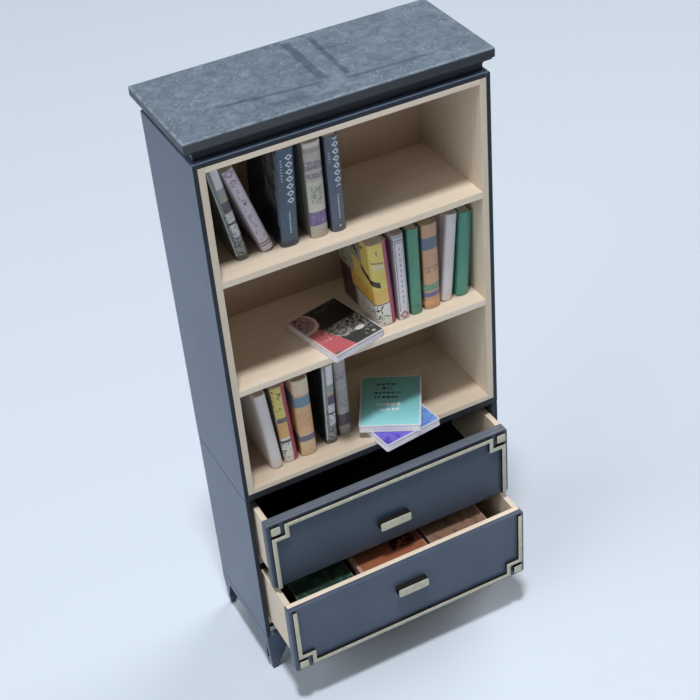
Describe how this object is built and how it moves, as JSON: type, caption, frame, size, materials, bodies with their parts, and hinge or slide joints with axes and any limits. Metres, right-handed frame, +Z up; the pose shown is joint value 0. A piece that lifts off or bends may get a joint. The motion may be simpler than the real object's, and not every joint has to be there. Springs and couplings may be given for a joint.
{
  "type": "miniature bookcase",
  "caption": "Dolls house bookcase in two parts: a lined shelf unit with cornice on a base with sliding drawers, raised key trim, bar pulls and bracket feet, stocked with loose miniature books.",
  "frame": {"origin": "on the floor, under the centre of the model's box with both drawers part open", "axes": "+Z up, +Y to the back, +X to the right seen from the front"},
  "size_m": [0.083, 0.0532, 0.1797],
  "materials": {
    "slate_paint": "satin chalk paint on wood",
    "bare_wood": "sanded basswood",
    "olive_trim": "matt paint on wood strip",
    "book_board": "printed card and paper"
  },
  "bodies": {
    "cabinet": {"upper_side_left": "slate_paint", "upper_side_right": "slate_paint", "upper_top_board": "slate_paint", "upper_bottom_board": "slate_paint", "lining_left": "bare_wood", "lining_right": "bare_wood", "lining_top": "bare_wood", "lining_bottom": "bare_wood", "shelf_lower": "bare_wood", "shelf_upper": "bare_wood", "upper_back_panel": "slate_paint", "cornice_slab": "slate_paint", "cornice_cove": "slate_paint", "base_side_left": "slate_paint", "base_side_right": "slate_paint", "base_top_board": "slate_paint", "base_bottom_board": "slate_paint", "base_back_panel": "slate_paint", "drawer_divider": "slate_paint", "lower_runners": "bare_wood", "upper_runners": "bare_wood", "plinth_front": "slate_paint", "plinth_back": "slate_paint", "plinth_sides": "slate_paint"},
    "upper_drawer": {"upper_drawer_front": "slate_paint", "upper_drawer_sides": "bare_wood", "upper_drawer_back": "bare_wood", "upper_drawer_inner_front": "bare_wood", "upper_drawer_bottom": "bare_wood", "upper_drawer_trim": "olive_trim", "upper_drawer_pull": "olive_trim"},
    "lower_drawer": {"lower_drawer_front": "slate_paint", "lower_drawer_sides": "bare_wood", "lower_drawer_back": "bare_wood", "lower_drawer_inner_front": "bare_wood", "lower_drawer_bottom": "bare_wood", "lower_drawer_trim": "olive_trim", "lower_drawer_pull": "olive_trim", "drawer_book_1": "book_board", "drawer_book_2": "book_board", "drawer_book_3": "book_board"},
    "book_top_1": {"book_top_1": "book_board"},
    "book_top_2": {"book_top_2": "book_board"},
    "book_top_3": {"book_top_3": "book_board"},
    "book_top_4": {"book_top_4": "book_board"},
    "book_top_5": {"book_top_5": "book_board"},
    "book_mid_1": {"book_mid_1": "book_board"},
    "book_mid_2": {"book_mid_2": "book_board"},
    "book_mid_3": {"book_mid_3": "book_board"},
    "book_mid_4": {"book_mid_4": "book_board"},
    "book_mid_5": {"book_mid_5": "book_board"},
    "book_mid_6": {"book_mid_6": "book_board"},
    "book_mid_7": {"book_mid_7": "book_board"},
    "book_low_1": {"book_low_1": "book_board"},
    "book_low_2": {"book_low_2": "book_board"},
    "book_low_3": {"book_low_3": "book_board"},
    "book_low_4": {"book_low_4": "book_board"},
    "book_low_5": {"book_low_5": "book_board"},
    "book_low_6": {"book_low_6": "book_board"},
    "book_low_7": {"book_low_7": "book_board"}
  },
  "joints": [
    {"name": "upper_drawer_slide", "type": "slide", "parent": "cabinet", "child": "upper_drawer", "axis": [0, -1, 0], "range_m": [-0.008, 0.016]},
    {"name": "lower_drawer_slide", "type": "slide", "parent": "cabinet", "child": "lower_drawer", "axis": [0, -1, 0], "range_m": [-0.0163, 0.0077]},
    {"name": "book_top_1_slide", "type": "slide", "parent": "cabinet", "child": "book_top_1", "axis": [0, -1, 0], "range_m": [0, 0.032]},
    {"name": "book_top_2_slide", "type": "slide", "parent": "cabinet", "child": "book_top_2", "axis": [0, -1, 0], "range_m": [0, 0.032]},
    {"name": "book_top_3_slide", "type": "slide", "parent": "cabinet", "child": "book_top_3", "axis": [0, -1, 0], "range_m": [0, 0.032]},
    {"name": "book_top_4_slide", "type": "slide", "parent": "cabinet", "child": "book_top_4", "axis": [0, -1, 0], "range_m": [0, 0.032]},
    {"name": "book_top_5_slide", "type": "slide", "parent": "cabinet", "child": "book_top_5", "axis": [0, -1, 0], "range_m": [0, 0.032]},
    {"name": "book_mid_1_slide", "type": "slide", "parent": "cabinet", "child": "book_mid_1", "axis": [0, -1, 0], "range_m": [0, 0.034]},
    {"name": "book_mid_2_slide", "type": "slide", "parent": "cabinet", "child": "book_mid_2", "axis": [0, -1, 0], "range_m": [0, 0.032]},
    {"name": "book_mid_3_slide", "type": "slide", "parent": "cabinet", "child": "book_mid_3", "axis": [0, -1, 0], "range_m": [0, 0.032]},
    {"name": "book_mid_4_slide", "type": "slide", "parent": "cabinet", "child": "book_mid_4", "axis": [0, -1, 0], "range_m": [0, 0.032]},
    {"name": "book_mid_5_slide", "type": "slide", "parent": "cabinet", "child": "book_mid_5", "axis": [0, -1, 0], "range_m": [0, 0.032]},
    {"name": "book_mid_6_slide", "type": "slide", "parent": "cabinet", "child": "book_mid_6", "axis": [0, -1, 0], "range_m": [0, 0.032]},
    {"name": "book_mid_7_slide", "type": "slide", "parent": "cabinet", "child": "book_mid_7", "axis": [0, -1, 0], "range_m": [0, 0.032]},
    {"name": "book_low_1_slide", "type": "slide", "parent": "cabinet", "child": "book_low_1", "axis": [0, -1, 0], "range_m": [0, 0.032]},
    {"name": "book_low_2_slide", "type": "slide", "parent": "cabinet", "child": "book_low_2", "axis": [0, -1, 0], "range_m": [0, 0.032]},
    {"name": "book_low_3_slide", "type": "slide", "parent": "cabinet", "child": "book_low_3", "axis": [0, -1, 0], "range_m": [0, 0.032]},
    {"name": "book_low_4_slide", "type": "slide", "parent": "cabinet", "child": "book_low_4", "axis": [0, -1, 0], "range_m": [0, 0.032]},
    {"name": "book_low_5_slide", "type": "slide", "parent": "cabinet", "child": "book_low_5", "axis": [0, -1, 0], "range_m": [0, 0.032]},
    {"name": "book_low_6_slide", "type": "slide", "parent": "cabinet", "child": "book_low_6", "axis": [0, -1, 0], "range_m": [0, 0.034]},
    {"name": "book_low_7_slide", "type": "slide", "parent": "cabinet", "child": "book_low_7", "axis": [0, -1, 0], "range_m": [0, 0.034]}
  ]
}
